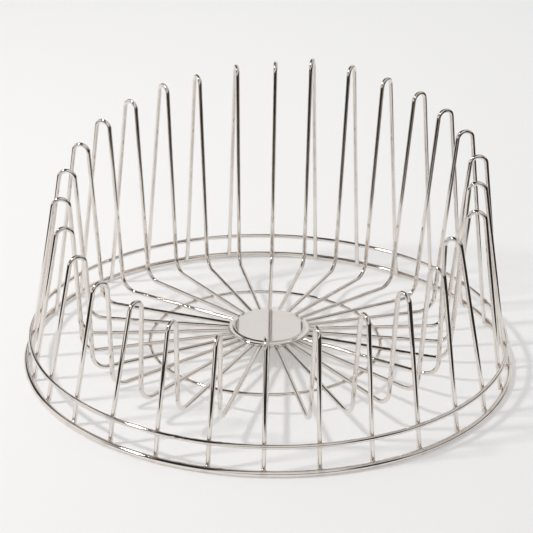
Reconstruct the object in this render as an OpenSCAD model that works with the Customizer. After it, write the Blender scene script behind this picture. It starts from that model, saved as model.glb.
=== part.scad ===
// Round wire cooling rack. Thirty bent wires stand on a base ring, and their
// inner runs meet under a centre disc. The upright hairpins are tall on the +Y
// side and low on the -Y side. The origin is on the surface that the rack stands
// on, at the middle of the base ring, with +Z up.

/* [Rings] */
// Radius of the base ring, to the middle of its wire
base_ring_r = 164.7; // [150:0.1:180]
// Thickness of the base ring's wire
base_wire = 4; // [3.5:0.1:5]
// How much smaller the mid ring's radius is than the base ring's
mid_ring_inset = 3.2; // [2.5:0.1:6]
// Thickness of the mid ring's wire
mid_wire = 3; // [2.5:0.1:3.5]
// Height of the middle of the mid ring's wire
mid_ring_z = 18.6; // [14:0.1:24]
// Radius of the ring under the floor spokes
floor_ring_r = 78; // [50:0.5:90]
// How far the ring under the floor spokes stands towards the low side
floor_ring_shift = 11; // [0:0.5:14]
// Thickness of the wire of the ring under the floor spokes
floor_ring_wire = 2.5; // [2:0.1:3]

/* [Bent wires] */
// Number of bent wires
wire_count = 30; // [30:1:36]
// Thickness of a bent wire
wire = 3; // [2.5:0.1:3]
// How much thinner bending draws the wire
bend_thinning = 0.1; // [0.05:0.05:0.2]
// Height of the hairpin tops at the back, +Y
back_h = 167; // [140:1:200]
// Height of the hairpin tops at the sides
side_h = 130; // [110:1:140]
// Height of the hairpin tops at the front, -Y
front_h = 83; // [70:1:100]
// Centreline radius of a hairpin's turn
hairpin_r = 5.5; // [4:0.1:6]
// Distance of a side hairpin from the rack's axis
tip_r = 137.5; // [134:0.5:140]
// How much nearer the axis the back hairpin stands, and farther the front one
tip_shift = 2; // [0:0.5:3]
// Centreline radius of the bend between a floor spoke and its inner leg
floor_bend_r = 11; // [8:0.5:12]
// Distance of the middle of a side wire's floor bend from the rack's axis
bend_from_axis = 114; // [108:0.5:116]
// How much nearer the axis the back wire's floor bend is, and farther the front one's
bend_shift = 8; // [4:0.5:9]
// Height of the middle of a floor spoke
floor_z = 16.8; // [12:0.1:24]

/* [Centre] */
// Radius of the centre disc
disc_r = 27.8; // [26:0.1:40]
// Thickness of the centre disc's raised middle
disc_t = 2; // [1.8:0.1:3]
// Radius of the centre disc's raised middle
disc_flat_r = 24; // [22:0.1:24]
// How much lower the centre disc's rim is than its middle
disc_step = 0.6; // [0.3:0.1:0.9]
// Width of the slopes at the centre disc's edge and round its raised middle
disc_bevel = 0.8; // [0.2:0.1:0.8]
// Radius of the plate under the inner ends of the spokes
hub_r = 22; // [20:0.5:24]
// Thickness of the plate under the inner ends of the spokes
hub_t = 1.5; // [1:0.1:2]
// Distance from the axis to the inner end of a spoke
spoke_start_r = 18; // [18:0.5:20]

/* [Hidden] */
// Hand-bent hairpins that stand off the even line: wire number, distance outwards
// and height
uneven = [
    [1, 0, 3],
    [4, 4, -3],
    [14, -3, 1],
    [16, 0, -3],
    [17, 0, -4],
    [18, 3, 1],
    [19, 4, 1],
    [22, -6, 0],
    [24, -3, 0],
    [30, 0, 2]
];
// Depth that a resistance weld sinks a wire into what it crosses
weld = 0.2;
// Length that a straight run goes on into a bend, where the two are one wire
run_on = 0.3;
// Height of the cut outer end of a bent wire, inside the base ring
foot_z = 1.8;
mid_ring_r = base_ring_r - mid_ring_inset;
// Distance of an outer leg's centreline from the axis, where it meets the mid ring
leg_weld_r = mid_ring_r - (mid_wire + wire) / 2 + weld;
// Distance of the cut end's centreline from the axis, against the base ring's inside
foot_r = base_ring_r - (base_wire + wire) / 2 + 1.5 * weld;
floor_ring_z = floor_z - (wire + floor_ring_wire) / 2 + weld;
disc_z = floor_z + wire / 2 - weld;
hub_z = floor_z - wire / 2 + weld - hub_t;
wire_names = [for (i = [1:wire_count]) str("wire_", i < 10 ? "0" : "", i)];
$fn = 48;

// Angle of a bent wire round the rack, counted from the tall side
function turn(i) = 360 / wire_count * (i - 1);

// How far a hairpin stands off the even line, outwards and up
function off_line(i) = [
    for (axis = [1:2]) [for (u = uneven) u[0] == i ? u[axis] : 0] * [for (u = uneven) 1]
];

// Height of the even line of hairpin tops at an angle from the tall side
function top_z(angle) = side_h + (back_h - front_h) / 2 * cos(angle)
    + ((back_h + front_h) / 2 - side_h) * pow(cos(angle), 2);

// Point on an arc, as distance from the rack's axis and height
function on_arc(centre, radius, angle) = centre + radius * [cos(angle), sin(angle)];

// A straight run of wire between two points of a bent wire's plane, which runs on
// by a little into the bend at either end that has one
module straight(p, q, before = 0, after = 0, thickness = wire) {
    translate([p[0], 0, p[1]])
        rotate([0, atan2(q[0] - p[0], q[1] - p[1]), 0])
            translate([0, 0, -before])
                cylinder(h = norm(q - p) + before + after, d = thickness);
}

// A bend in a bent wire's plane, from one angle to another
module bend(centre, radius, from, to) {
    translate([centre[0], 0, centre[1]])
        rotate([90, 0, 0])
            rotate([0, 0, from])
                rotate_extrude(angle = to - from)
                    translate([radius, 0])
                        circle(d = wire - bend_thinning);
}

// A closed ring of round wire
module ring(radius, z, thickness) {
    translate([0, 0, z])
        rotate_extrude($fn = 180)
            translate([radius, 0])
                circle(d = thickness);
}

// Spoke, floor bend, inner leg, hairpin, outer leg and foot of one bent wire. Both
// legs are tangents of the hairpin's turn: the outer one through its weld to the mid
// ring, and the inner one from the floor bend. The foot goes on from the mid ring to
// the inside of the base ring.
module bent_wire(i) {
    even_tip = [tip_r - tip_shift * cos(turn(i)), top_z(turn(i)) - wire / 2 - hairpin_r];
    tip = even_tip + off_line(i);
    floor_bend = [bend_from_axis - bend_shift * cos(turn(i)), floor_z + floor_bend_r];
    leg_weld = [leg_weld_r, mid_ring_z];
    to_weld = leg_weld - tip;
    outer_lean = acos(hairpin_r / norm(to_weld)) - atan2(-to_weld[1], to_weld[0]);
    to_bend = tip - floor_bend;
    inner_lean = 90 - atan2(to_bend[1], to_bend[0]) - asin((hairpin_r + floor_bend_r) / norm(to_bend));
    outer_top = on_arc(tip, hairpin_r, outer_lean);
    inner_foot = on_arc(floor_bend, floor_bend_r, -inner_lean);
    inner_top = on_arc(tip, hairpin_r, 180 - inner_lean);
    color("silver")
        rotate([0, 0, 90 + turn(i)]) {
            straight([spoke_start_r, floor_z], [floor_bend[0], floor_z], 0, run_on);
            bend(floor_bend, floor_bend_r, -90, -inner_lean);
            straight(inner_foot, inner_top, run_on, run_on);
            bend(tip, hairpin_r, outer_lean, 180 - inner_lean);
            straight(outer_top, leg_weld, run_on);
            straight(leg_weld, [foot_r, foot_z], run_on, 0, wire - bend_thinning);
        }
}

module base_ring() {
    color("gainsboro") ring(base_ring_r, base_wire / 2, base_wire);
}

module mid_ring() {
    color("gainsboro") ring(mid_ring_r, mid_ring_z, mid_wire);
}

module floor_ring() {
    color("gainsboro")
        translate([0, -floor_ring_shift, 0])
            ring(floor_ring_r, floor_ring_z, floor_ring_wire);
}

// Flat polished disc on top of the spokes, with a lower rim that is bevelled
module centre_disc() {
    color("lightgray")
        translate([0, 0, disc_z])
            rotate_extrude($fn = 120)
                polygon([
                    [0, 0],
                    [disc_r, 0],
                    [disc_r, disc_t - disc_step - disc_bevel],
                    [disc_r - disc_bevel, disc_t - disc_step],
                    [disc_flat_r + disc_bevel, disc_t - disc_step],
                    [disc_flat_r, disc_t],
                    [0, disc_t]
                ]);
}

// Plain plate that closes the hub from below
module hub_plate() {
    color("lightgray") translate([0, 0, hub_z]) cylinder(h = hub_t, r = hub_r, $fn = 96);
}

base_ring();
mid_ring();
floor_ring();
centre_disc();
hub_plate();
for (i = [1:wire_count]) bent_wire(i);
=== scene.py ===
import math
import random

import bpy
from mathutils import Matrix, Vector


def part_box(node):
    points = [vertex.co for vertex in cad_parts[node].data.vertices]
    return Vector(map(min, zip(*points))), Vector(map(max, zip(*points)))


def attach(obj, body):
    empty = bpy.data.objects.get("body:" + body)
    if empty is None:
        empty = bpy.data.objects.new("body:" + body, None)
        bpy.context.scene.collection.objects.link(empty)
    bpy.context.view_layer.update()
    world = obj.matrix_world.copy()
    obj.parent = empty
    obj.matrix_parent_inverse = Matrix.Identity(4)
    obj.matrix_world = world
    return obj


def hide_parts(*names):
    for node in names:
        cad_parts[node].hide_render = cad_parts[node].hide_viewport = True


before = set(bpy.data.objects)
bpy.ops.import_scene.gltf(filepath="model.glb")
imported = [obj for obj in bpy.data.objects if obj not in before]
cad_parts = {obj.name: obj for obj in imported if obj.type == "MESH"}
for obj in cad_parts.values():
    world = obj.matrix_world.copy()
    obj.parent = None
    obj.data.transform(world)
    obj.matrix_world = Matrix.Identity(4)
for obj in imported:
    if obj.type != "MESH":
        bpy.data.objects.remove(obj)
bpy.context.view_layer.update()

random.seed(12)
bpy.context.scene.view_settings.view_transform = "Standard"
print("frame loaded,", len(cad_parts), "nodes")


# helpers for working by hand

sameSpot = 0.000005


def deselectAll():
    if bpy.context.object and bpy.context.object.mode != "OBJECT":
        bpy.ops.object.mode_set(mode="OBJECT")
    bpy.ops.object.select_all(action="DESELECT")


def makeActive(piece):
    deselectAll()
    piece.select_set(True)
    bpy.context.view_layer.objects.active = piece


def nameNew(name):
    piece = bpy.context.object
    piece.name = name
    piece.data.name = name
    return piece


def startEditing(piece):
    makeActive(piece)
    bpy.ops.object.mode_set(mode="EDIT")
    bpy.ops.mesh.select_mode(type="VERT")


def stopEditing():
    bpy.ops.object.mode_set(mode="OBJECT")


def selectVerts(piece, isWanted):  # works in edit mode, picks vertices by their place
    bpy.ops.mesh.select_mode(type="VERT")
    bpy.ops.mesh.select_all(action="DESELECT")
    stopEditing()
    for vert in piece.data.vertices:
        vert.select = isWanted(vert.co)
    bpy.ops.object.mode_set(mode="EDIT")


def selectFaces(piece, isWanted):  # works in edit mode, picks faces by their middle
    bpy.ops.mesh.select_mode(type="FACE")
    bpy.ops.mesh.select_all(action="DESELECT")
    stopEditing()
    for face in piece.data.polygons:
        face.select = isWanted(face)
    bpy.ops.object.mode_set(mode="EDIT")


def pullTo(start, end):  # extrudes the selected ring of edges
    move = (end[0] - start[0], 0, end[1] - start[1])
    bpy.ops.mesh.extrude_region_move(TRANSFORM_OT_translate={"value": move})


def applyPlace(piece):
    makeActive(piece)
    bpy.ops.object.transform_apply(location=True, rotation=True, scale=True)


def cleanUp(piece, angle):  # doubles first, then normals, then smooth shading
    startEditing(piece)
    bpy.ops.mesh.select_all(action="SELECT")
    bpy.ops.mesh.remove_doubles(threshold=sameSpot)
    bpy.ops.mesh.normals_make_consistent(inside=False)
    stopEditing()
    bpy.ops.object.shade_smooth_by_angle(angle=math.radians(angle))


def unwrapTube(piece, sides):  # u goes round the wire and v along it, both in metres
    mesh = piece.data
    rings = len(mesh.vertices) // sides
    middles = []
    for row in range(rings):
        corners = (mesh.vertices[row * sides + step].co for step in range(sides))
        middles.append(sum(corners, Vector()) / sides)
    along = [0.0]
    for row in range(1, rings):
        along.append(along[-1] + (middles[row] - middles[row - 1]).length)
    girth = 2 * math.pi * (mesh.vertices[0].co - middles[0]).length
    layer = mesh.uv_layers.new(name="wireMap")
    for face in mesh.polygons:
        rowsHere = [index // sides for index in face.vertices]
        stepsHere = [index % sides for index in face.vertices]
        overSeam = max(stepsHere) - min(stepsHere) > 1
        overEnd = max(rowsHere) - min(rowsHere) > 1
        for loop, row, step in zip(face.loop_indices, rowsHere, stepsHere):
            if overSeam and step == 0:
                step = sides
            height = along[row]
            if overEnd and row == 0:  # a closed ring's last faces run on to its first row
                height = 2 * along[-1] - along[-2]
            layer.data[loop].uv = (step / sides * girth, height)


# camera

view = {
    "place": (0.2162, -0.9736, 0.5058),
    "aim": (-0.0341, 0.1406, 0.0),
    "lens": 109.58,
    "sensor": 36,
    "roll": 1.08,
}

bpy.ops.object.camera_add(location=view["place"])
camera = nameNew("camera")
camera.data.lens = view["lens"]
camera.data.sensor_width = view["sensor"]
lookAlong = Vector(view["aim"]) - Vector(view["place"])
turn = lookAlong.to_track_quat("-Z", "Y").to_matrix().to_4x4()
camera.rotation_euler = (turn @ Matrix.Rotation(math.radians(view["roll"]), 4, "Z")).to_euler()
bpy.context.scene.camera = camera
print("camera placed")


# node helpers

def addNode(tree, kind, values=None, **settings):
    node = tree.nodes.new(kind)
    for key, value in settings.items():
        setattr(node, key, value)
    for key, value in (values or {}).items():
        node.inputs[key].default_value = value
    node.location = (220 * len(tree.nodes) % 1800, -180 * (len(tree.nodes) // 8))
    return node


def doMath(tree, operation, a, b=None, c=None):
    node = addNode(tree, "ShaderNodeMath", operation=operation)
    for socket, value in zip(node.inputs, (a, b, c)):
        if value is None:
            continue
        if isinstance(value, (int, float)):
            socket.default_value = value
        else:
            tree.links.new(value, socket)
    return node.outputs[0]


def mapRange(tree, value, fromLow, fromHigh, toLow=0.0, toHigh=1.0, smooth=True):
    node = addNode(tree, "ShaderNodeMapRange")
    node.interpolation_type = "SMOOTHSTEP" if smooth else "LINEAR"
    for socket, given in zip(list(node.inputs)[:5], (value, fromLow, fromHigh, toLow, toHigh)):
        if isinstance(given, (int, float)):
            socket.default_value = given
        else:
            tree.links.new(given, socket)
    return node.outputs[0]


def mixColours(tree, factor, a, b):
    node = addNode(tree, "ShaderNodeMix", data_type="RGBA")
    for name, given in (("Factor", factor), ("A", a), ("B", b)):
        socket = [s for s in node.inputs if s.name == name and s.enabled][0]
        if isinstance(given, (int, float, tuple)):
            socket.default_value = given
        else:
            tree.links.new(given, socket)
    return [s for s in node.outputs if s.enabled][0]


def newGroup(name, inputs, outputs):
    tree = bpy.data.node_groups.new(name, "ShaderNodeTree")
    for label, kind, value in inputs:
        socket = tree.interface.new_socket(label, in_out="INPUT", socket_type=kind)
        if value is not None:
            socket.default_value = value
    for label, kind in outputs:
        tree.interface.new_socket(label, in_out="OUTPUT", socket_type=kind)
    return tree, tree.nodes.new("NodeGroupInput"), tree.nodes.new("NodeGroupOutput")


def placeGroup(tree, group, links, values=None):
    node = tree.nodes.new("ShaderNodeGroup")
    node.node_tree = group
    for key, socket in links.items():
        tree.links.new(socket, node.inputs[key])
    for key, value in (values or {}).items():
        node.inputs[key].default_value = value
    return node


def newMaterial(name):
    material = bpy.data.materials.new(name)
    material.use_nodes = True
    tree = material.node_tree
    tree.nodes.clear()
    shader = addNode(tree, "ShaderNodeBsdfPrincipled")
    output = addNode(tree, "ShaderNodeOutputMaterial")
    tree.links.new(shader.outputs[0], output.inputs["Surface"])
    return material, tree, shader


def connectBump(tree, shader, height, bumpSize):  # distance in metres, and strength
    distance, strength = bumpSize
    bump = addNode(tree, "ShaderNodeBump", {"Distance": distance, "Strength": strength})
    tree.links.new(height, bump.inputs["Height"])
    tree.links.new(bump.outputs[0], shader.inputs["Normal"])


# shared effects

floatIn, vectorIn = "NodeSocketFloat", "NodeSocketVector"


def lengthOf(tree, first, second):
    squares = [doMath(tree, "MULTIPLY", side, side) for side in (first, second)]
    return doMath(tree, "SQRT", doMath(tree, "ADD", *squares))


def raggedMask(tree, given, away, solidTo):  # full near the weld, then fades with a blotchy edge
    blotch = addNode(tree, "ShaderNodeTexNoise", {"Scale": 900.0, "Detail": 2.0})
    tree.links.new(given.outputs["Position"], blotch.inputs["Vector"])
    ragged = doMath(tree, "MULTIPLY", away, doMath(tree, "ADD", blotch.outputs[0], 0.5))
    near = doMath(tree, "DIVIDE", ragged, given.outputs["Reach"])
    return mapRange(tree, near, solidTo, 1.0, 1.0, 0.0)


# what hands and cloths leave: broad dull patches and fine wiping marks
tree, given, result = newGroup(
    "handlingMarks",
    [("Position", vectorIn, None), ("Patch Scale", floatIn, 40.0), ("Wipe Scale", floatIn, 700.0)],
    [("Patches", floatIn), ("Wiping", floatIn)],
)
patches = addNode(tree, "ShaderNodeTexNoise", {"Detail": 4.0, "Roughness": 0.6, "Distortion": 0.4})
tree.links.new(given.outputs["Position"], patches.inputs["Vector"])
tree.links.new(given.outputs["Patch Scale"], patches.inputs["Scale"])
tree.links.new(mapRange(tree, patches.outputs[0], 0.38, 0.68), result.inputs["Patches"])
stretched = addNode(tree, "ShaderNodeMapping")
stretched.inputs["Scale"].default_value = (1.0, 0.12, 1.0)
stretched.inputs["Rotation"].default_value = (0.0, 0.0, 0.6)
tree.links.new(given.outputs["Position"], stretched.inputs["Vector"])
wiping = addNode(tree, "ShaderNodeTexNoise", {"Detail": 3.0, "Roughness": 0.7})
tree.links.new(stretched.outputs[0], wiping.inputs["Vector"])
tree.links.new(given.outputs["Wipe Scale"], wiping.inputs["Scale"])
tree.links.new(mapRange(tree, wiping.outputs[0], 0.4, 0.72), result.inputs["Wiping"])
handlingMarks = tree

# fine lines that the drawing die leaves along a wire
tree, given, result = newGroup(
    "drawnLines",
    [("Map", vectorIn, None), ("Lines Round", floatIn, 9000.0), ("Lines Along", floatIn, 45.0)],
    [("Height", floatIn), ("Scratches", floatIn)],
)
parts = addNode(tree, "ShaderNodeSeparateXYZ")
tree.links.new(given.outputs["Map"], parts.inputs[0])
spread = addNode(tree, "ShaderNodeCombineXYZ")
tree.links.new(doMath(tree, "MULTIPLY", parts.outputs[0], given.outputs["Lines Round"]), spread.inputs[0])
tree.links.new(doMath(tree, "MULTIPLY", parts.outputs[1], given.outputs["Lines Along"]), spread.inputs[1])
lines = addNode(tree, "ShaderNodeTexNoise", {"Scale": 1.0, "Detail": 3.0, "Roughness": 0.65})
tree.links.new(spread.outputs[0], lines.inputs["Vector"])
tree.links.new(lines.outputs[0], result.inputs["Height"])
tree.links.new(mapRange(tree, lines.outputs[0], 0.58, 0.75), result.inputs["Scratches"])
drawnLines = tree

# heat near a circle of welds, where the bent wires are joined to a ring
tree, given, result = newGroup(
    "weldHeat",
    [("Position", vectorIn, None), ("Ring Middle", vectorIn, None), ("Ring Radius", floatIn, 0.16),
     ("Reach", floatIn, 0.005)],
    [("Mask", floatIn)],
)
offset = addNode(tree, "ShaderNodeVectorMath", operation="SUBTRACT")
tree.links.new(given.outputs["Position"], offset.inputs[0])
tree.links.new(given.outputs["Ring Middle"], offset.inputs[1])
parts = addNode(tree, "ShaderNodeSeparateXYZ")
tree.links.new(offset.outputs[0], parts.inputs[0])
flat = lengthOf(tree, parts.outputs[0], parts.outputs[1])
side = doMath(tree, "SUBTRACT", flat, given.outputs["Ring Radius"])
away = lengthOf(tree, side, parts.outputs[2])
tree.links.new(raggedMask(tree, given, away, 0.45), result.inputs["Mask"])
weldHeat = tree

# the same heat on the ring itself: a patch at each of the evenly spaced crossings
tree, given, result = newGroup(
    "crossingHeat",
    [("Position", vectorIn, None), ("Crossings", floatIn, 30.0), ("Reach", floatIn, 0.003)],
    [("Mask", floatIn)],
)
parts = addNode(tree, "ShaderNodeSeparateXYZ")
tree.links.new(given.outputs["Position"], parts.inputs[0])
angle = doMath(tree, "ARCTAN2", parts.outputs[0], parts.outputs[1])  # counted from +Y, where a wire stands
flat = lengthOf(tree, parts.outputs[0], parts.outputs[1])
turns = doMath(tree, "MULTIPLY", doMath(tree, "DIVIDE", angle, 2 * math.pi), given.outputs["Crossings"])
part = doMath(tree, "SUBTRACT", turns, doMath(tree, "ROUND", turns))
step = doMath(tree, "DIVIDE", doMath(tree, "MULTIPLY", flat, 2 * math.pi), given.outputs["Crossings"])
away = doMath(tree, "MULTIPLY", doMath(tree, "ABSOLUTE", part), step)
tree.links.new(raggedMask(tree, given, away, 0.4), result.inputs["Mask"])
crossingHeat = tree
print("shared effects ready")


# steel finishes

steel = {
    "wireColour": (0.85, 0.805, 0.77, 1.0),
    "duller": (0.78, 0.735, 0.70, 1.0),
    "heatColour": (0.46, 0.39, 0.33, 1.0),
    "discColour": (0.845, 0.825, 0.815, 1.0),
    "hubColour": (0.62, 0.61, 0.59, 1.0),
    "hubHeat": 0.5,
    "wireRoughness": (0.03, 0.065),
    "ringExtraDull": 0.01,
    "scratchRoughness": 0.03,
    "heatRoughness": 0.06,
    "heatTint": 0.22,
    "wipingHeight": 0.3,
    "wireBump": (0.000004, 0.2),
    "weldRoughness": 0.12,
    "weldWiping": 0.12,
    "weldTint": 0.3,
    "weldBump": (0.00006, 0.6),
    "discRoughness": (0.025, 0.07),
    "discWiping": 0.02,
    "discBump": (0.000002, 0.2),
    "hubRoughness": (0.24, 0.42),
    "hubBump": (0.00002, 0.4),
}

# circles of welds on the bent wires: middle, radius, and how far the heat reaches
heatedRings = {
    "base": ((0.0, 0.0, 0.002), 0.1630, 0.0045),
    "mid": ((0.0, 0.0, 0.0186), 0.1601, 0.0040),
    "floor": ((0.0, -0.011, 0.0152), 0.0780, 0.0030),
}


def polishedWire(name, heat, extraDull=0.0):
    material, tree, shader = newMaterial(name)
    where = addNode(tree, "ShaderNodeTexCoord")
    marks = placeGroup(tree, handlingMarks, {"Position": where.outputs["Object"]})
    lines = placeGroup(tree, drawnLines, {"Map": where.outputs["UV"]})
    mask = heat(tree, where.outputs["Object"])
    colour = mixColours(tree, marks.outputs["Patches"], steel["wireColour"], steel["duller"])
    tint = doMath(tree, "MULTIPLY", mask, steel["heatTint"])
    tinted = mixColours(tree, tint, colour, steel["heatColour"])
    tree.links.new(tinted, shader.inputs["Base Color"])
    low, high = [end + extraDull for end in steel["wireRoughness"]]
    rough = mapRange(tree, marks.outputs["Patches"], 0.0, 1.0, low, high, smooth=False)
    rough = doMath(tree, "MULTIPLY_ADD", lines.outputs["Scratches"], steel["scratchRoughness"], rough)
    rough = doMath(tree, "MULTIPLY_ADD", mask, steel["heatRoughness"], rough)
    tree.links.new(rough, shader.inputs["Roughness"])
    shader.inputs["Metallic"].default_value = 1.0
    height = doMath(tree, "MULTIPLY_ADD", marks.outputs["Wiping"], steel["wipingHeight"],
                    lines.outputs["Height"])
    connectBump(tree, shader, height, steel["wireBump"])
    return material


def heatAtRings(tree, position):
    masks = []
    for middle, radius, reach in heatedRings.values():
        group = placeGroup(tree, weldHeat, {"Position": position},
                           {"Ring Middle": middle, "Ring Radius": radius, "Reach": reach})
        masks.append(group.outputs["Mask"])
    return doMath(tree, "MAXIMUM", doMath(tree, "MAXIMUM", masks[0], masks[1]), masks[2])


def heatAtCrossings(tree, position):
    return placeGroup(tree, crossingHeat, {"Position": position}).outputs["Mask"]


bentWireSteel = polishedWire("bentWireSteel", heatAtRings)
ringWireSteel = polishedWire("ringWireSteel", heatAtCrossings, steel["ringExtraDull"])

weldSteel, tree, shader = newMaterial("weldSteel")
where = addNode(tree, "ShaderNodeTexCoord")
marks = placeGroup(tree, handlingMarks, {"Position": where.outputs["Object"]},
                   {"Patch Scale": 600.0, "Wipe Scale": 2500.0})
tint = doMath(tree, "MULTIPLY", marks.outputs["Patches"], steel["weldTint"])
colour = mixColours(tree, tint, steel["wireColour"], steel["heatColour"])
tree.links.new(colour, shader.inputs["Base Color"])
rough = doMath(tree, "MULTIPLY_ADD", marks.outputs["Wiping"], steel["weldWiping"], steel["weldRoughness"])
tree.links.new(rough, shader.inputs["Roughness"])
shader.inputs["Metallic"].default_value = 1.0
connectBump(tree, shader, marks.outputs["Wiping"], steel["weldBump"])

discSteel, tree, shader = newMaterial("discSteel")
where = addNode(tree, "ShaderNodeTexCoord")
marks = placeGroup(tree, handlingMarks, {"Position": where.outputs["Object"]},
                   {"Patch Scale": 55.0, "Wipe Scale": 1500.0})
colour = mixColours(tree, marks.outputs["Patches"], steel["discColour"], steel["wireColour"])
tree.links.new(colour, shader.inputs["Base Color"])
low, high = steel["discRoughness"]
rough = mapRange(tree, marks.outputs["Patches"], 0.0, 1.0, low, high, smooth=False)
rough = doMath(tree, "MULTIPLY_ADD", marks.outputs["Wiping"], steel["discWiping"], rough)
tree.links.new(rough, shader.inputs["Roughness"])
shader.inputs["Metallic"].default_value = 1.0
connectBump(tree, shader, marks.outputs["Wiping"], steel["discBump"])

hubSteel, tree, shader = newMaterial("hubSteel")
where = addNode(tree, "ShaderNodeTexCoord")
rolled = addNode(tree, "ShaderNodeMapping")
rolled.inputs["Scale"].default_value = (1.0, 0.04, 1.0)
tree.links.new(where.outputs["Object"], rolled.inputs["Vector"])
grain = addNode(tree, "ShaderNodeTexNoise", {"Scale": 2600.0, "Detail": 4.0})
tree.links.new(rolled.outputs[0], grain.inputs["Vector"])
marks = placeGroup(tree, handlingMarks, {"Position": where.outputs["Object"]}, {"Patch Scale": 90.0})
tint = doMath(tree, "MULTIPLY", marks.outputs["Patches"], steel["hubHeat"])
colour = mixColours(tree, tint, steel["hubColour"], steel["heatColour"])
tree.links.new(colour, shader.inputs["Base Color"])
low, high = steel["hubRoughness"]
tree.links.new(mapRange(tree, grain.outputs[0], 0.3, 0.7, low, high), shader.inputs["Roughness"])
shader.inputs["Metallic"].default_value = 1.0
connectBump(tree, shader, grain.outputs[0], steel["hubBump"])
print("steel finishes ready")


# bent wires: floor spoke, floor bend, inner leg, hairpin, outer leg and foot

bentWire = {
    "count": 30,
    "thickness": 0.003,
    "sides": 20,
    "spokeStart": 0.018,
    "floorHeight": 0.0168,
    "floorBend": 0.011,
    "bendFromAxis": 0.114,
    "bendShift": 0.008,
    "hairpin": 0.0055,
    "tipFromAxis": 0.1375,
    "tipShift": 0.002,
    "outwards": {4: 0.004, 14: -0.003, 18: 0.003, 19: 0.004, 22: -0.006, 24: -0.003},
    "weldAt": (0.1587, 0.0186),
    "footAt": (0.1615, 0.0018),
    "floorBendSteps": 8,
    "hairpinSteps": 18,
    "leans": {1: 0.7},  # degrees, for the wires that stand clearly askew
    "strayLean": 0.3,
    "leanFrom": 0.004,
    "cutBevel": 0.00025,
}


def onArc(middle, radius, degrees):
    angle = math.radians(degrees)
    return Vector((middle[0] + radius * math.cos(angle), middle[1] + radius * math.sin(angle)))


def wirePath(number):
    sizes = bentWire
    away = math.cos(math.radians(360 / sizes["count"] * (number - 1)))
    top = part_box("wire_%02d" % number)[1].z
    tip = Vector((sizes["tipFromAxis"] - sizes["tipShift"] * away + sizes["outwards"].get(number, 0),
                  top - sizes["thickness"] / 2 - sizes["hairpin"]))
    bend = Vector((sizes["bendFromAxis"] - sizes["bendShift"] * away,
                   sizes["floorHeight"] + sizes["floorBend"]))
    toWeld = Vector(sizes["weldAt"]) - tip
    outerLean = math.degrees(math.acos(sizes["hairpin"] / toWeld.length) - math.atan2(-toWeld.y, toWeld.x))
    toBend = tip - bend
    reach = math.asin((sizes["hairpin"] + sizes["floorBend"]) / toBend.length)
    innerLean = 90 - math.degrees(math.atan2(toBend.y, toBend.x) + reach)
    return tip, bend, outerLean, innerLean


def bendWire(number):
    sizes = bentWire
    tip, bend, outerLean, innerLean = wirePath(number)
    lean = sizes["leans"].get(number, random.uniform(-sizes["strayLean"], sizes["strayLean"]))
    start = Vector((sizes["spokeStart"], sizes["floorHeight"]))
    spokeEnd = Vector((bend.x, sizes["floorHeight"]))
    innerFoot = onArc(bend, sizes["floorBend"], -innerLean)
    innerTop = onArc(tip, sizes["hairpin"], 180 - innerLean)
    outerTop = onArc(tip, sizes["hairpin"], outerLean)

    deselectAll()
    bpy.ops.mesh.primitive_circle_add(vertices=sizes["sides"], radius=sizes["thickness"] / 2,
                                      fill_type="NOTHING", location=(start.x, 0, start.y),
                                      rotation=(0, math.pi / 2, 0))
    wire = nameNew("bentWire_%02d" % number)
    applyPlace(wire)
    startEditing(wire)
    bpy.ops.mesh.select_all(action="SELECT")
    pullTo(start, spokeEnd)
    bpy.ops.mesh.spin(steps=sizes["floorBendSteps"], angle=math.radians(90 - innerLean),
                      center=(bend.x, 0, bend.y), axis=(0, 1, 0))
    pullTo(innerFoot, innerTop)
    bpy.ops.mesh.spin(steps=sizes["hairpinSteps"], angle=math.radians(180 - innerLean - outerLean),
                      center=(tip.x, 0, tip.y), axis=(0, -1, 0))
    pullTo(outerTop, Vector(sizes["weldAt"]))
    pullTo(Vector(sizes["weldAt"]), Vector(sizes["footAt"]))
    stopEditing()
    unwrapTube(wire, sizes["sides"])

    # both cut ends are closed, and the foot's rim is filed off a little
    startEditing(wire)
    footStart = len(wire.data.vertices) - sizes["sides"]
    for isFoot in (False, True):
        bpy.ops.mesh.select_all(action="DESELECT")
        stopEditing()
        for vert in wire.data.vertices:
            vert.select = vert.index >= footStart if isFoot else vert.index < sizes["sides"]
        bpy.ops.object.mode_set(mode="EDIT")
        bpy.ops.mesh.edge_face_add()
    bpy.ops.mesh.bevel(offset=sizes["cutBevel"], segments=2, affect="EDGES")

    # the hairpin leans a little to one side, which draws the legs over with it
    selectVerts(wire, lambda co: co.z > tip.y - sizes["leanFrom"])
    bpy.ops.transform.rotate(value=math.radians(lean), orient_axis="X",
                             center_override=(tip.x, 0, sizes["floorHeight"]))
    stopEditing()

    wire.rotation_euler = (0, 0, math.radians(90 + 360 / sizes["count"] * (number - 1)))
    applyPlace(wire)
    cleanUp(wire, 50)
    wire.data.materials.append(bentWireSteel)
    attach(wire, "root")
    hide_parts("wire_%02d" % number)
    return wire


for number in range(1, bentWire["count"] + 1):
    bendWire(number)
print("bent wires made")


# rings: a circle spun all the way round, with a rough butt weld where its ends meet

rings = {
    "base_ring": {"thickness": 0.004, "weldAngle": 128, "weldLength": 0.006, "sides": 24, "steps": 240},
    "mid_ring": {"thickness": 0.003, "weldAngle": 264, "weldLength": 0.009, "sides": 20, "steps": 240},
    "floor_ring": {"thickness": 0.0025, "weldAngle": 100, "weldLength": 0.005, "sides": 16, "steps": 144},
}
roughWeld = {"swell": 0.00012, "stray": 0.00014, "cuts": 2}
slimmer = 0.997  # keeps the spun wire inside the flat-sided outline of the frame's ring

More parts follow.
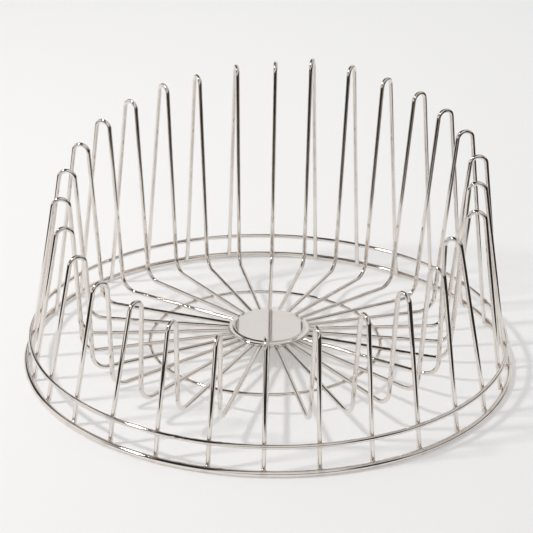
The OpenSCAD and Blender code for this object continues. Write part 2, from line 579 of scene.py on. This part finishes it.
weldBead = {
    "radius": 0.001,
    "stray": 0.00012,
    "crownFrom": 0.4,
    "crownSize": (1.15, 1.1, 0.8),
    "strayHeight": 0.0001,
    "strayTilt": 0.2,
    "straySize": (0.9, 1.12),
}
beadsAt = {
    "base_ring": {"size": (1.25, 0.6, 1.15), "fromAxis": 0.1625, "height": 0.0030},
    "mid_ring": {"size": (1.2, 0.55, 1.1), "fromAxis": 0.1601, "height": 0.0186},
    "floor_ring": {"size": (1.15, 1.0, 0.5), "fromAxis": None, "height": 0.0154},
}


def spinRing(node):
    ring = rings[node]
    low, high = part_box(node)
    middle = (low + high) / 2
    radius = min(high.x - low.x, high.y - low.y) / 2 - ring["thickness"] / 2
    deselectAll()
    bpy.ops.mesh.primitive_circle_add(vertices=ring["sides"], radius=ring["thickness"] / 2 * slimmer,
                                      fill_type="NOTHING", location=(middle.x + radius, middle.y, middle.z),
                                      rotation=(math.pi / 2, 0, 0))
    piece = nameNew(node.replace("_ring", "Ring") + "Wire")
    applyPlace(piece)
    startEditing(piece)
    bpy.ops.mesh.select_all(action="SELECT")
    bpy.ops.mesh.spin(steps=ring["steps"], angle=2 * math.pi, center=middle, axis=(0, 0, 1),
                      use_auto_merge=True)
    stopEditing()
    unwrapTube(piece, ring["sides"])

    startEditing(piece)
    toWeld = math.radians(ring["weldAngle"])
    weldMiddle = middle + radius * Vector((math.cos(toWeld), math.sin(toWeld), 0))
    selectFaces(piece, lambda face: (face.center - weldMiddle).length < ring["weldLength"] / 2)
    bpy.ops.mesh.subdivide(number_cuts=roughWeld["cuts"])
    bpy.ops.transform.shrink_fatten(value=roughWeld["swell"])
    bpy.ops.transform.vertex_random(offset=roughWeld["stray"], seed=int(ring["weldAngle"]))
    stopEditing()
    piece.data.materials.append(ringWireSteel)
    piece.data.materials.append(weldSteel)
    return piece, middle, radius


def makeBead():
    deselectAll()
    bpy.ops.mesh.primitive_ico_sphere_add(subdivisions=2, radius=weldBead["radius"])
    bead = nameNew("weldBead")
    startEditing(bead)
    bpy.ops.mesh.select_all(action="SELECT")
    bpy.ops.transform.vertex_random(offset=weldBead["stray"], seed=4)
    selectVerts(bead, lambda co: co.z > weldBead["radius"] * weldBead["crownFrom"])
    bpy.ops.transform.resize(value=weldBead["crownSize"], center_override=(0, 0, 0))
    stopEditing()
    bead.data.materials.append(weldSteel)
    return bead


masterBead = makeBead()


def addBeads(piece, node, middle, radius):
    bead = beadsAt[node]
    stray, tilt = weldBead["strayHeight"], weldBead["strayTilt"]
    copies = []
    for number in range(1, bentWire["count"] + 1):
        angle = math.radians(90 + 360 / bentWire["count"] * (number - 1))
        outward = Vector((math.cos(angle), math.sin(angle), 0))
        if bead["fromAxis"]:
            place = outward * bead["fromAxis"]
        else:  # the ring stands off the axis, so its crossing is found along the spoke
            along = outward.dot(Vector((middle.x, middle.y, 0)))
            off = Vector((middle.x, middle.y)).length
            place = outward * (along + math.sqrt(radius ** 2 - off ** 2 + along ** 2))
        makeActive(masterBead)
        bpy.ops.object.duplicate(linked=False)
        copy = bpy.context.object
        copy.location = (place.x, place.y, bead["height"] + random.uniform(-stray, stray))
        copy.rotation_euler = (0, random.uniform(-tilt, tilt), angle + math.pi / 2)
        copy.scale = [side * random.uniform(*weldBead["straySize"]) for side in bead["size"]]
        applyPlace(copy)
        copies.append(copy)
    makeActive(piece)
    for copy in copies:
        copy.select_set(True)
    bpy.ops.object.join()


for node in rings:
    piece, middle, radius = spinRing(node)
    addBeads(piece, node, middle, radius)
    cleanUp(piece, 50)
    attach(piece, "root")
    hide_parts(node)
bpy.data.objects.remove(masterBead)
print("rings made")


# centre disc: flat mirror top, a fine step, and a shoulder that falls to the rim

centreDisc = {
    "sides": 128,
    "rimDrop": 0.0006,
    "rimWidth": 0.0030,
    "slope": 0.0008,
    "shoulder": 0.0009,
    "shoulderSteps": 5,
    "stepRounding": 0.0003,
    "underBevel": 0.0002,
    "flatHold": 0.0004,
    "flatArea": 0.0005,
    "sameLevel": 0.0001,
    "sameEdge": 0.00002,
}


def looksUp(face):
    return face.normal.z > 0.999


def onEdge(co, place):  # place is a distance from the axis and a height
    off = (co.to_2d().length - place.x, co.z - place.y)
    return max(abs(off[0]), abs(off[1])) < centreDisc["sameEdge"]


low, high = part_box("centre_disc")
discRadius = (high.x - low.x) / 2
rimTop = high.z - centreDisc["rimDrop"]
flatRadius = discRadius - centreDisc["rimWidth"] - centreDisc["slope"]
deselectAll()
bpy.ops.mesh.primitive_cylinder_add(vertices=centreDisc["sides"], radius=discRadius, depth=rimTop - low.z,
                                    location=(0, 0, (rimTop + low.z) / 2))
disc = nameNew("polishedDisc")
applyPlace(disc)
startEditing(disc)
selectVerts(disc, lambda co: co.z > rimTop - centreDisc["sameLevel"])
bpy.ops.mesh.bevel(offset=centreDisc["shoulder"], segments=centreDisc["shoulderSteps"], affect="EDGES")
selectVerts(disc, lambda co: co.z < low.z + centreDisc["sameLevel"])
bpy.ops.mesh.bevel(offset=centreDisc["underBevel"], segments=2, affect="EDGES")
selectFaces(disc, lambda face: looksUp(face) and face.center.z > rimTop - centreDisc["sameLevel"])
bpy.ops.mesh.inset(thickness=centreDisc["rimWidth"] - centreDisc["shoulder"], depth=0)
bpy.ops.mesh.extrude_region_move(TRANSFORM_OT_translate={"value": (0, 0, centreDisc["rimDrop"])})
narrower = flatRadius / (flatRadius + centreDisc["slope"])
bpy.ops.transform.resize(value=(narrower, narrower, 1), center_override=(0, 0, high.z))
for height, radius in ((high.z, flatRadius), (rimTop, flatRadius + centreDisc["slope"])):
    place = Vector((radius, height))
    selectVerts(disc, lambda co: onEdge(co, place))
    bpy.ops.mesh.bevel(offset=centreDisc["stepRounding"], segments=3, affect="EDGES")
selectFaces(disc, lambda face: looksUp(face) and face.area > centreDisc["flatArea"])
bpy.ops.mesh.inset(thickness=centreDisc["flatHold"], depth=0)
bpy.ops.mesh.select_all(action="DESELECT")
stopEditing()
cleanUp(disc, 30)
disc.data.materials.append(discSteel)
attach(disc, "root")
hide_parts("centre_disc")
print("centre disc made")

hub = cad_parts["hub_plate"]
hub.data.materials.clear()
hub.data.materials.append(hubSteel)
print("hub plate finished")


# floor, with painted darkness past its edge that only the polished wires see: a flat dark emission, shown
# to glossy rays alone, stands in for the dark room there

floorSheet = {
    "size": 12.0,
    "colour": (0.84, 0.835, 0.83, 1.0),
    "shade": (0.825, 0.82, 0.815, 1.0),
    "edge": 1.8,
    "edgeFront": 0.42,
    "edgeRight": 0.28,
    "edgeSoft": 0.05,
    "frontSide": (-0.574, -0.819, 0.0),
    "darkSide": (0.952, -0.306, 0.0),
    "sideBlend": (0.4, 0.75),
    # painted reflection colour: the near-black that the wires see past the floor's edge
    "pastEdge": (0.03, 0.026, 0.024, 1.0),
    "bump": (0.0001, 0.1),
}

deselectAll()
bpy.ops.mesh.primitive_plane_add(size=floorSheet["size"], location=(0, 0, 0))
floor = nameNew("floorSheet")
floorPaper, tree, shader = newMaterial("floorPaper")
where = addNode(tree, "ShaderNodeTexCoord")
fibres = addNode(tree, "ShaderNodeTexNoise", {"Scale": 900.0, "Detail": 4.0})
tree.links.new(where.outputs["Object"], fibres.inputs["Vector"])
colour = mixColours(tree, fibres.outputs[0], floorSheet["colour"], floorSheet["shade"])
tree.links.new(colour, shader.inputs["Base Color"])
shader.inputs["Roughness"].default_value = 0.8
shader.inputs["Specular IOR Level"].default_value = 0.2
connectBump(tree, shader, fibres.outputs[0], floorSheet["bump"])
length = addNode(tree, "ShaderNodeVectorMath", operation="LENGTH")
tree.links.new(where.outputs["Object"], length.inputs[0])
towards = addNode(tree, "ShaderNodeVectorMath", operation="NORMALIZE")
tree.links.new(where.outputs["Object"], towards.inputs[0])
edge = floorSheet["edge"]
for towardSide, reach in (("frontSide", "edgeFront"), ("darkSide", "edgeRight")):
    dot = addNode(tree, "ShaderNodeVectorMath", operation="DOT_PRODUCT")
    dot.inputs[1].default_value = floorSheet[towardSide]
    tree.links.new(towards.outputs[0], dot.inputs[0])
    low, high = floorSheet["sideBlend"]
    edge = mapRange(tree, dot.outputs["Value"], low, high, edge, floorSheet[reach])
past = doMath(tree, "SUBTRACT", length.outputs["Value"], edge)
dark = mapRange(tree, past, 0.0, floorSheet["edgeSoft"])
# painted reflection: past the edge the floor shows glossy rays a flat near-black emission in place of the
# lit paper
ray = addNode(tree, "ShaderNodeLightPath")
paintedDarkReflection = addNode(tree, "ShaderNodeEmission", {"Color": floorSheet["pastEdge"], "Strength": 1.0})
mixed = addNode(tree, "ShaderNodeMixShader")
tree.links.new(doMath(tree, "MULTIPLY", dark, ray.outputs["Is Glossy Ray"]), mixed.inputs[0])
tree.links.new(shader.outputs[0], mixed.inputs[1])
tree.links.new(paintedDarkReflection.outputs[0], mixed.inputs[2])
output = [n for n in tree.nodes if n.type == "OUTPUT_MATERIAL"][0]
tree.links.new(mixed.outputs[0], output.inputs["Surface"])
floor.data.materials.append(floorPaper)
print("floor laid")


# studio: pale room with dark panels that only the steel shows, a soft key light and a wide top light

studio = {
    "backdrop": (0.88, 0.87, 0.875, 1.0),
    "fill": (0.80, 0.80, 0.805, 1.0),
    "fillStrength": 0.62,
    "pale": (0.80, 0.785, 0.77, 1.0),
    "warm": (0.95, 0.90, 0.85, 1.0),
    "dark": (0.02, 0.018, 0.017, 1.0),
    "cameraSide": (0.219, -0.976, 0.0),
    "warmFrom": (0.2, 0.8),
    "darkFrom": (0.1, 0.45),
    "ceilingFrom": (0.22, 0.34),
    "overheadFrom": (0.70, 0.78),
    "panelTint": (1.0, 0.975, 0.95),
    "ceiling": [  # light and dark sides of the room above eye height, by angle from +X towards +Y
        (0, 0.55), (60, 0.60), (84, 0.80), (113, 0.80), (119, 0.03), (155, 0.03), (164, 0.95),
        (199, 0.95), (207, 0.02), (257, 0.02), (264, 0.78), (316, 0.78), (325, 0.04), (344, 0.04),
        (352, 0.55), (360, 0.55),
    ],
    "overhead": [  # the same straight above
        (0, 0.50), (75, 0.50), (95, 0.03), (252, 0.03), (264, 0.72), (345, 0.72), (360, 0.50),
    ],
}

world = bpy.data.worlds.new("studioRoom")
bpy.context.scene.world = world
world.use_nodes = True
tree = world.node_tree
tree.nodes.clear()
where = addNode(tree, "ShaderNodeTexCoord")
direction = where.outputs["Generated"]
parts = addNode(tree, "ShaderNodeSeparateXYZ")
tree.links.new(direction, parts.inputs[0])
up = parts.outputs[2]
level = addNode(tree, "ShaderNodeVectorMath", operation="MULTIPLY")
level.inputs[1].default_value = (1, 1, 0)
tree.links.new(direction, level.inputs[0])
levelled = addNode(tree, "ShaderNodeVectorMath", operation="NORMALIZE")
tree.links.new(level.outputs[0], levelled.inputs[0])


def facing(side):
    dot = addNode(tree, "ShaderNodeVectorMath", operation="DOT_PRODUCT")
    dot.inputs[1].default_value = side
    tree.links.new(levelled.outputs[0], dot.inputs[0])
    return dot.outputs["Value"]


room = addNode(tree, "ShaderNodeRGB")
room.outputs[0].default_value = studio["pale"]
room = room.outputs[0]
warmPart = mapRange(tree, facing(studio["cameraSide"]), *studio["warmFrom"])
room = mixColours(tree, warmPart, room, studio["warm"])
darkPart = mapRange(tree, facing(floorSheet["darkSide"]), *studio["darkFrom"])
room = mixColours(tree, darkPart, room, studio["dark"])

flatParts = addNode(tree, "ShaderNodeSeparateXYZ")
tree.links.new(levelled.outputs[0], flatParts.inputs[0])
around = doMath(tree, "ARCTAN2", flatParts.outputs[1], flatParts.outputs[0])
around = doMath(tree, "FRACT", doMath(tree, "ADD", doMath(tree, "DIVIDE", around, 2 * math.pi), 1.0))


def panelsAround(stops):
    strips = addNode(tree, "ShaderNodeValToRGB")
    ramp = strips.color_ramp
    while len(ramp.elements) < len(stops):
        ramp.elements.new(0.5)
    for element, (angle, value) in zip(ramp.elements, stops):
        element.position = angle / 360
    for element, (angle, value) in zip(ramp.elements, stops):
        element.color = [value * tint for tint in studio["panelTint"]] + [1.0]
    tree.links.new(around, strips.inputs[0])
    return strips.outputs[0]


for height in ("ceiling", "overhead"):
    part = mapRange(tree, up, *studio[height + "From"])
    room = mixColours(tree, part, room, panelsAround(studio[height]))
ray = addNode(tree, "ShaderNodeLightPath")
soft = mixColours(tree, ray.outputs["Is Glossy Ray"], studio["fill"], room)
shown = mixColours(tree, ray.outputs["Is Camera Ray"], soft, studio["backdrop"])
strength = mapRange(tree, ray.outputs["Is Diffuse Ray"], 0.0, 1.0, 1.0, studio["fillStrength"],
                    smooth=False)
background = addNode(tree, "ShaderNodeBackground")
tree.links.new(shown, background.inputs["Color"])
tree.links.new(strength, background.inputs["Strength"])
output = addNode(tree, "ShaderNodeOutputWorld")
tree.links.new(background.outputs[0], output.inputs["Surface"])

softLights = {
    "keyLight": {"place": (-0.94, -0.44, 1.28), "size": 0.16, "power": 9.0, "colour": (1.0, 0.985, 0.965)},
    "wideLight": {"place": (-0.35, 1.15, 2.3), "size": 1.5, "power": 26.0, "colour": (1.0, 1.0, 1.0)},
}

for name, light in softLights.items():
    deselectAll()
    bpy.ops.object.light_add(type="AREA", location=light["place"])
    lamp = nameNew(name)
    lamp.data.size = light["size"]
    lamp.data.energy = light["power"]
    lamp.data.color = light["colour"]
    lamp.visible_glossy = name == "keyLight"
    lamp.data.use_shadow = name == "keyLight"  # the wide light stands for what the bright wires throw back
    lamp.rotation_euler = (-Vector(light["place"])).to_track_quat("-Z", "Y").to_euler()
print("studio lit")

deselectAll()
